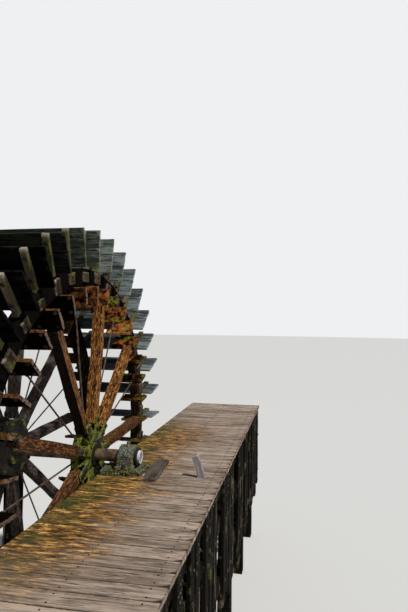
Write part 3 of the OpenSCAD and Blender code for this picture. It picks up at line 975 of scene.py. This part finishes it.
# %% Platform timbers
PLANK_ROW = ("deck_timber", deck_wood, (0.09, 0.05, 0.04), 0.004, 0.003, 0.008)
BEAM_ROW = ("pile_timber", pile_wood, (0.16, 0.09, 0.09), 0.008, 0.007, 0.008)
PLATFORM_ROWS = {
    "deck_planks": PLANK_ROW, "mill_planks": PLANK_ROW, "deck_stringers": BEAM_ROW,
    "deck_cap_beams": BEAM_ROW, "deck_piles": BEAM_ROW, "deck_braces": BEAM_ROW, "edge_wales": BEAM_ROW,
    "mill_stringers": BEAM_ROW, "mill_cap_beams": BEAM_ROW, "mill_piles": BEAM_ROW,
    "edge_boards": ("pile_timber", pile_wood, (0.09, 0.08, 0.05), 0.005, 0.006, 0.012),
    "loose_board": ("bleached_timber", loose_wood, (0.06, 0.05, 0.04), 0.004, 0.003, 0.006),
    "deck_stake": ("bleached_timber", bleached_wood, (0.04, 0.03, 0.03), 0.006, 0.005, 0.006),
}
for name, row in PLATFORM_ROWS.items():
    worn[name] = weathered(name, "frame", *row)

# %% [markdown]
# ## Rough iron
#
# A casting has soft corners and a crust. A voxel remesh turns the sharp solid into an even
# skin with rounded arrises, and noise then roughens that skin by a few millimetres.

# %% Make a crusted copy of a casting
def crusted(node_name, body, material, voxel, rough, scale):
    source = bmesh.new()
    source.from_mesh(nodes[node_name].data)
    bmesh.ops.remove_doubles(source, verts=source.verts, dist=MERGE_DIST)
    plain_mesh = bpy.data.meshes.new("plain")
    source.to_mesh(plain_mesh)
    source.free()
    piece = bpy.data.objects.new(node_name + "_crust", plain_mesh)
    bpy.context.scene.collection.objects.link(piece)
    remesh = piece.modifiers.new("even_skin", "REMESH")
    remesh.mode = "VOXEL"
    remesh.voxel_size = voxel
    depsgraph = bpy.context.evaluated_depsgraph_get()
    skin = bpy.data.meshes.new_from_object(piece.evaluated_get(depsgraph))
    piece.modifiers.clear()
    piece.data = skin
    bpy.data.meshes.remove(plain_mesh)
    skin.name = node_name + "_crust"
    for v, normal in [(v, v.normal.copy()) for v in skin.vertices]:
        lump = noise.noise(v.co * scale) + 0.5 * noise.noise(v.co * scale * 2.6)
        v.co += normal * lump * rough
    skin.polygons.foreach_set("use_smooth", [True] * len(skin.polygons))
    skin.materials.clear()
    skin.materials.append(material)
    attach(piece, body)
    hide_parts(node_name)
    skin.calc_loop_triangles()
    print(node_name, "crusted,", len(skin.loop_triangles), "triangles")
    return piece


print("crust ready")

# %% Hubs and bearings
HUB_LUMPS, BEARING_LUMPS = 22.0, 30.0
SOLE_ROW = ("mossy_timber", mossy_wood, (0.05, 0.05, 0.03), 0.008, 0.008, 0.014)
worn["hub_canal"] = crusted("hub_canal", "wheel", mossy_iron, 0.0095, 0.004, HUB_LUMPS)
worn["hub_mill"] = crusted("hub_mill", "wheel", mill_shade_iron, 0.012, 0.004, HUB_LUMPS)
for side in SIDES:
    for part_name, voxel in (("base", 0.007), ("cap", 0.006)):
        name = "bearing_%s_%s" % (part_name, side)
        worn[name] = crusted(name, "frame", bearing_iron, voxel, 0.003, BEARING_LUMPS)
    name = "bearing_sole_" + side
    worn[name] = weathered(name, "frame", *SOLE_ROW)

# %% [markdown]
# ## Bolts, nuts and nails
#
# Each head is a low six-sided cone, set a few millimetres into the wood. `place` turns it to
# its paddle or spoke, `at` is the spot in that turned frame, and `way` is where it points.

# %% One bolt head
def stud(part, place, at, way, radius, high, washer=True):
    out = Vector(way)
    turned = out.to_track_quat("Z", "Y").to_matrix().to_4x4()
    if washer:
        flat = place @ Matrix.Translation(Vector(at) + out * 0.002) @ turned
        bmesh.ops.create_cone(part, cap_ends=True, segments=12, radius1=radius * 1.8,
                              radius2=radius * 1.7, depth=0.012, matrix=flat)
    head = place @ Matrix.Translation(Vector(at) + out * (high / 2 - 0.003)) @ turned
    bmesh.ops.create_cone(part, cap_ends=True, segments=6, radius1=radius, radius2=radius * 0.88,
                          depth=high, matrix=head)


print("bolt head ready")

# %% Bolt heads at the paddles
PLATE_FRONT_Y, PLATE_BOLTS_X, PLATE_BOLTS_R = -0.076, (0.52, 0.80), (2.45, 2.66)
ARM_X, ARM_FRONT_Y, PADDLE_BACK_Y, ARM_BOLTS_R = 0.581, -0.085, 0.020, (3.14, 3.46)
CLEAT_FACE_X, CLEAT_BOLTS = 0.686, ((-0.105, 2.81), (-0.125, 2.87))
wheel_bolts = {side: bmesh.new() for side in SIDES}
cleat_bolts = {side: bmesh.new() for side in SIDES}


def paddle_bolts(side, sign, place):
    for x in PLATE_BOLTS_X:
        for r in PLATE_BOLTS_R:
            stud(wheel_bolts[side], place, (sign * x, PLATE_FRONT_Y, r), (0, -1, 0), 0.016, 0.020)
    for r in ARM_BOLTS_R:
        stud(wheel_bolts[side], place, (sign * ARM_X, ARM_FRONT_Y, r), (0, -1, 0), 0.018, 0.022)
        stud(wheel_bolts[side], place, (sign * ARM_X, PADDLE_BACK_Y, r), (0, 1, 0), 0.018, 0.018)
    for y, r in CLEAT_BOLTS:
        at = (sign * CLEAT_FACE_X, y, r)
        stud(cleat_bolts[side], place, at, (sign, 0, 0), 0.014, 0.018, washer=False)


for side, sign in SIDES.items():
    for number in range(PADDLES):
        paddle_bolts(side, sign, about_axle(PADDLE_START + number * PADDLE_STEP))
    print(side, len(wheel_bolts[side].verts), "vertices in paddle bolts")

# %% Bolt heads and rod nuts at the spokes
SPOKE_START, EAR_FACE_X, EAR_BOLTS_R = 7.7, 0.822, (0.40, 0.55)
ROD_START, ROD_X, ROD_NUTS_R = 28.0, 0.659, (0.492, 2.366)
BOSS_FACE_X, BOSS_BOLTS_R = 0.808, 0.225
for side, sign in SIDES.items():
    rod_nuts = bmesh.new()
    for number in range(SPOKES):
        at_spoke = about_axle(SPOKE_START + number * SPOKE_STEP)
        at_rod = about_axle(ROD_START + number * SPOKE_STEP)
        for r in EAR_BOLTS_R:
            stud(wheel_bolts[side], at_spoke, (sign * EAR_FACE_X, 0, r), (sign, 0, 0), 0.024, 0.030)
        for r in ROD_NUTS_R:
            stud(rod_nuts, at_rod, (sign * ROD_X, 0, r), (0, 0, 1), 0.026, 0.026, washer=False)
        boss_spot = (sign * BOSS_FACE_X, 0, BOSS_BOLTS_R)
        stud(wheel_bolts[side], at_rod, boss_spot, (sign, 0, 0), 0.020, 0.026)
    for label, part in (("wheel_bolts_", wheel_bolts[side]), ("cleat_bolts_", cleat_bolts[side]),
                        ("rod_nuts_", rod_nuts)):
        joined_piece(label + side, [part], "wheel", bolt_iron, 25.0)

# %% [markdown]
# ### Bolts and nails on the platforms
#
# Two nails hold each plank on each beam, two bolts hold each edge board on its wales, and
# each bearing stands on two bolts. The edge boards that are gone have no bolts.

# %% Nails in the planks
DECK_Z, PLANK_STEP = 3.476, 0.25
BEAMS_X, NAIL_ASIDE = (1.115, 1.945, 2.750), (-0.07, 0.07)
STILL = Matrix.Identity(4)


def nail_planks(part, sign, first_y, count):
    for i in range(count):
        for x in BEAMS_X:
            for aside in NAIL_ASIDE:
                at = (sign * x, first_y + i * PLANK_STEP + aside, DECK_Z)
                stud(part, STILL, at, (0, 0, 1), 0.010, 0.008, washer=False)


nails = bmesh.new()
nail_planks(nails, 1, -5.375, 44)
nail_planks(nails, -1, AXLE_Y - 1.125, 10)
joined_piece("deck_nails", [nails], "frame", bolt_iron, 25.0)

# %% Bolts of the edge boards and the bearings
EDGE_X, BOARD_STEP, BOARDS, WALE_DROPS = 2.900, 0.305, 35, (0.72, 1.65)
BEARING_X, FOOT_Y, FOOT_HIGH = 1.373, 0.225, 0.115
edge_bolts, feet_bolts = bmesh.new(), bmesh.new()
for i in range(BOARDS):
    if i % 5 != 3 and i % 7 != 5:
        board_middle = -5.38 + i * BOARD_STEP + 0.1025 + 0.011 * (i % 3)
        for drop in WALE_DROPS:
            stud(edge_bolts, STILL, (EDGE_X, board_middle, DECK_Z - drop), (1, 0, 0), 0.018, 0.022)
for sign in SIDES.values():
    for y in (AXLE_Y - FOOT_Y, AXLE_Y + FOOT_Y):
        stud(feet_bolts, STILL, (sign * BEARING_X, y, DECK_Z + FOOT_HIGH), (0, 0, 1), 0.026, 0.045)
joined_piece("edge_bolts", [edge_bolts], "frame", bolt_iron, 25.0)
joined_piece("bearing_feet_bolts", [feet_bolts], "frame", bolt_iron, 25.0)

# %% [markdown]
# ## Tufts of moss
#
# Moss stands up from the iron and the soaked wood. Faces are drawn at random, large faces
# more often than small ones, and each draw sets one small lumpy ball into the skin there.
# `keep` says which faces may carry moss, from a face's middle and its normal.

# %% Scatter tufts over a piece
def tufts(name, piece, count, body, small, large, keep, material=moss_tufts):
    rng = random.Random(name)
    faces = [face for face in piece.data.polygons if keep(face.center, face.normal)]
    faces.sort(key=lambda face: place_key(face.center))
    part = bmesh.new()
    for face in rng.choices(faces, weights=[face.area for face in faces], k=count):
        size = rng.uniform(small, large)
        squash = Matrix.Diagonal((size, size * rng.uniform(0.6, 1.3), size * rng.uniform(0.4, 0.9), 1.0))
        stand = face.normal.to_track_quat("Z", "Y").to_matrix().to_4x4()
        turned = stand @ Matrix.Rotation(rng.uniform(0, 6.3), 4, "Z")
        bmesh.ops.create_icosphere(part, subdivisions=1, radius=1.0,
                                   matrix=Matrix.Translation(face.center) @ turned @ squash)
    for v in part.verts:
        lump, other = noise.noise(v.co * 90), noise.noise(v.co * 90 + Vector((7, 0, 0)))
        v.co += Vector((lump, other, lump)) * 0.004
    joined_piece(name, [part], body, material, 180.0)


def wheel_radius(co):
    return math.hypot(co.y - AXLE_Y, co.z - AXLE_Z)


print("tufts ready")

# %% Moss on the hub and the bearing
tufts("moss_hub", worn["hub_canal"], 460, "wheel", 0.007, 0.017,
      lambda co, n: (co.x > 0.66 or wheel_radius(co) > 0.47) and not (co.x > 0.81 and wheel_radius(co) < 0.2))
tufts("moss_bearing", worn["bearing_base_canal"], 130, "frame", 0.007, 0.016,
      lambda co, n: n.z > -0.2 and co.z < DECK_Z + 0.2)
tufts("moss_bearing_cap", worn["bearing_cap_canal"], 60, "frame", 0.005, 0.012,
      lambda co, n: co.x > 1.46 or n.z > 0.8)
tufts("moss_sole", worn["bearing_sole_canal"], 110, "frame", 0.010, 0.020,
      lambda co, n: n.z > -0.3)
tufts("rubble_sole", worn["bearing_sole_canal"], 300, "frame", 0.012, 0.032,
      lambda co, n: n.z > -0.3, bearing_iron)

# %% Moss on the timbers
tufts("moss_plates", worn["rim_blocks_canal"], 120, "wheel", 0.006, 0.014,
      lambda co, n: wheel_radius(co) > 2.66 and co.y > AXLE_Y and co.z > AXLE_Z - 0.4)
tufts("moss_arms", worn["arms_canal"], 320, "wheel", 0.005, 0.012,
      lambda co, n: n.x > 0.5)
tufts("moss_edge", worn["edge_boards"], 150, "frame", 0.008, 0.018,
      lambda co, n: co.z > DECK_Z - 0.4 and n.x > 0.2 and noise.noise(co * 1.7) > 0.18, dull_tufts)
tufts("moss_deck", worn["deck_planks"], 520, "frame", 0.006, 0.016,
      lambda co, n: n.z > 0.7 and co.x < 1.35 and -3.6 < co.y < 1.6)

# %% [markdown]
# ## Finishes on the solid nodes
#
# Where the solid already has the right shape, it stays and only takes its finish.

# %% Materials of the nodes that stay
staying = {
    "shaft": worn_steel, "shaft_flange": shade_black_iron, "shaft_end_cap": painted_cap,
    "tie_rods_canal": rusty_rod, "tie_rods_mill": rusty_rod,
}
for name, material in staying.items():
    nodes[name].data.materials.clear()
    nodes[name].data.materials.append(material)
print("finishes on", len(staying), "solid nodes")

# %% [markdown]
# ## The floor
#
# A plain pale sheet at the level of the pile feet, not attached to the wheel or the frame.

# %% Floor
floor_mesh = bpy.data.meshes.new("floor")
sheet = bmesh.new()
bmesh.ops.create_circle(sheet, cap_ends=True, segments=64, radius=180.0)
sheet.to_mesh(floor_mesh)
sheet.free()
floor = bpy.data.objects.new("floor", floor_mesh)
bpy.context.scene.collection.objects.link(floor)
pale = bpy.data.materials.new("pale_floor")
pale.use_nodes = True
pale_shader = pale.node_tree.nodes["Principled BSDF"]
pale_shader.inputs["Base Color"].default_value = (0.76, 0.76, 0.75, 1.0)
pale_shader.inputs["Roughness"].default_value = 0.9
floor_mesh.materials.append(pale)
print("floor", len(floor_mesh.vertices), "vertices round")
